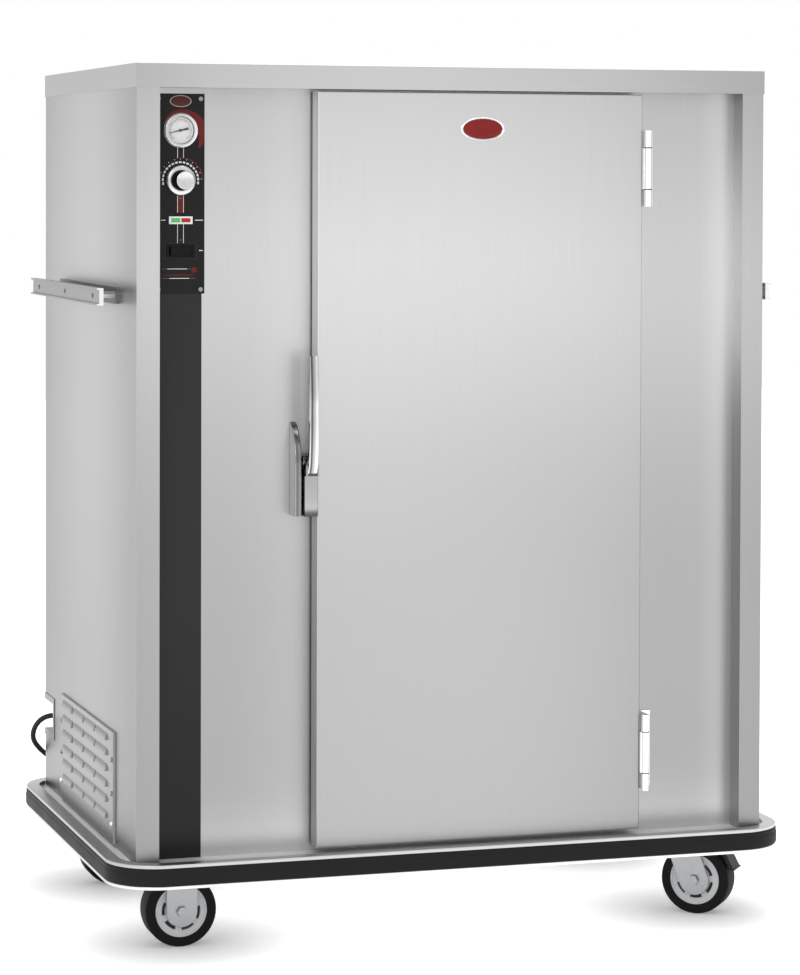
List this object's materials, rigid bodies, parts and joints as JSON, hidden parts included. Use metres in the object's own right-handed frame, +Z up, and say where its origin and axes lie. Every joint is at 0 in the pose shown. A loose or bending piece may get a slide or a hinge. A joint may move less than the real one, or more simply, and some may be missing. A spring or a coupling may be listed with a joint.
{
  "type": "heated banquet cabinet",
  "caption": "Upright insulated heated banquet cabinet on casters, with a hinged door, edge latch, control column, bumper and push handles.",
  "frame": {"origin": "bottom centre of the cabinet at the floor, on its middle plane", "axes": "X right, Y to the back, Z up; the front faces -Y"},
  "size_m": [1.308, 1.0997, 1.6],
  "materials": {
    "stainless": "brushed",
    "stainless_inner": "brushed",
    "steel_plain": "satin",
    "galvanised": "satin",
    "bumper_metal": "satin",
    "vinyl": "matte",
    "black_panel": "satin",
    "black_plastic": "matte",
    "bright": "polished",
    "handle_metal": "satin",
    "dial_white": "matte",
    "clear_lens": "clear",
    "white_plastic": "gloss",
    "lamp_red": "gloss",
    "badge_red": "gloss",
    "insulation_board": "matte",
    "heater_sheath": "satin",
    "motor_paint": "satin",
    "cord_jacket": "matte",
    "gasket_rubber": "matte",
    "zinc": "satin",
    "tyre_black": "matte"
  },
  "bodies": {
    "cabinet": {"base_deck": "steel_plain", "base_frame": "galvanised", "bumper_channel": "bumper_metal", "bumper_insert": "vinyl", "left_side_panel": "stainless", "right_side_panel": "stainless", "back_panel": "stainless", "top_cap": "stainless", "front_frame": "stainless", "face_panel": "stainless", "control_cover": "black_panel", "control_panel": "black_panel", "cover_screws": "bright", "thermometer_case": "bright", "thermometer_face": "dial_white", "thermometer_lens": "clear_lens", "thermostat_body": "black_plastic", "indicator_frame": "white_plastic", "indicator_lenses": "lamp_red", "switch_bezel": "black_plastic", "inner_liner": "stainless_inner", "insulation": "insulation_board", "shelf_supports": "stainless_inner", "heater_element": "heater_sheath", "fan_motor": "motor_paint", "air_duct": "stainless_inner", "vent_cover": "stainless", "cord_pocket": "stainless", "cord_gland": "black_plastic", "cord_run": "cord_jacket", "cord_coil": "cord_jacket", "cord_plug": "cord_jacket", "push_handles": "handle_metal", "hinge_frame_leaves": "bright", "latch_strike": "bright", "rigid_forks": "zinc", "swivel_plates": "zinc"},
    "door": {"door_outer_skin": "stainless", "door_inner_skin": "stainless_inner", "door_insulation": "insulation_board", "door_gasket": "gasket_rubber", "door_badge": "badge_red", "hinge_door_leaves": "bright", "latch_body": "bright"},
    "lever": {"latch_lever": "bright"},
    "knob": {"thermostat_knob": "black_plastic"},
    "needle": {"thermometer_needle": "black_plastic"},
    "rocker": {"switch_rocker": "black_plastic"},
    "fan": {"fan_wheel": "galvanised"},
    "pan": {"water_pan": "stainless_inner"},
    "lower_shelf": {"shelf_lower": "bright"},
    "upper_shelf": {"shelf_upper": "bright"},
    "fork_front": {"swivel_fork_front": "zinc"},
    "fork_back": {"swivel_fork_back": "zinc"},
    "wheel_front_left_body": {"wheel_front_left": "tyre_black"},
    "wheel_back_left_body": {"wheel_back_left": "tyre_black"},
    "wheel_front_right_body": {"wheel_front_right": "tyre_black"},
    "wheel_back_right_body": {"wheel_back_right": "tyre_black"},
    "pedal_front": {"brake_pedal_front": "zinc"},
    "pedal_back": {"brake_pedal_back": "zinc"}
  },
  "joints": [
    {"name": "door_swing", "type": "hinge", "parent": "cabinet", "child": "door", "pos_m": [0.3665, -0.413, 0.87], "axis": [0, 0, 1], "range_deg": [0, 180]},
    {"name": "latch_turn", "type": "hinge", "parent": "door", "child": "lever", "pos_m": [-0.28, -0.415, 0.873], "axis": [1, 0, 0], "range_deg": [0, 38]},
    {"name": "thermostat_turn", "type": "hinge", "parent": "cabinet", "child": "knob", "pos_m": [-0.511, -0.37, 1.3924], "axis": [0, 1, 0], "range_deg": [0, 300]},
    {"name": "needle_turn", "type": "hinge", "parent": "cabinet", "child": "needle", "pos_m": [-0.511, -0.366, 1.4815], "axis": [0, 1, 0], "range_deg": [-45, 225]},
    {"name": "rocker_tip", "type": "hinge", "parent": "cabinet", "child": "rocker", "pos_m": [-0.511, -0.362, 1.2665], "axis": [0, 0, 1], "range_deg": [-16, 0]},
    {"name": "fan_spin", "type": "hinge", "parent": "cabinet", "child": "fan", "pos_m": [-0.428, 0, 0.42], "axis": [1, 0, 0], "continuous": true},
    {"name": "pan_slide", "type": "slide", "parent": "cabinet", "child": "pan", "axis": [0, -1, 0], "range_m": [0, 0.06]},
    {"name": "shelf_lower_slide", "type": "slide", "parent": "cabinet", "child": "lower_shelf", "axis": [0, -1, 0], "range_m": [0, 0.06]},
    {"name": "shelf_upper_slide", "type": "slide", "parent": "cabinet", "child": "upper_shelf", "axis": [0, -1, 0], "range_m": [0, 0.06]},
    {"name": "swivel_front", "type": "hinge", "parent": "cabinet", "child": "fork_front", "pos_m": [0.491, -0.274, 0.152], "axis": [0, 0, 1], "continuous": true},
    {"name": "roll_front_right", "type": "hinge", "parent": "fork_front", "child": "wheel_front_right_body", "pos_m": [0.52209, -0.29917, 0.066], "axis": [-0.6293, -0.7771, 0], "continuous": true},
    {"name": "brake_front", "type": "hinge", "parent": "fork_front", "child": "pedal_front", "pos_m": [0.56094, -0.33064, 0.128], "axis": [0.6293, 0.7771, 0], "range_deg": [0, 6]},
    {"name": "roll_front_left", "type": "hinge", "parent": "cabinet", "child": "wheel_front_left_body", "pos_m": [-0.491, -0.274, 0.066], "axis": [0, -1, 0], "continuous": true},
    {"name": "swivel_back", "type": "hinge", "parent": "cabinet", "child": "fork_back", "pos_m": [0.491, 0.274, 0.152], "axis": [0, 0, 1], "continuous": true},
    {"name": "roll_back_right", "type": "hinge", "parent": "fork_back", "child": "wheel_back_right_body", "pos_m": [0.52632, 0.29278, 0.066], "axis": [0.4695, -0.8829, 0], "continuous": true},
    {"name": "brake_back", "type": "hinge", "parent": "fork_back", "child": "pedal_back", "pos_m": [0.57046, 0.31625, 0.128], "axis": [-0.4695, 0.8829, 0], "range_deg": [0, 6]},
    {"name": "roll_back_left", "type": "hinge", "parent": "cabinet", "child": "wheel_back_left_body", "pos_m": [-0.491, 0.274, 0.066], "axis": [0, -1, 0], "continuous": true}
  ]
}
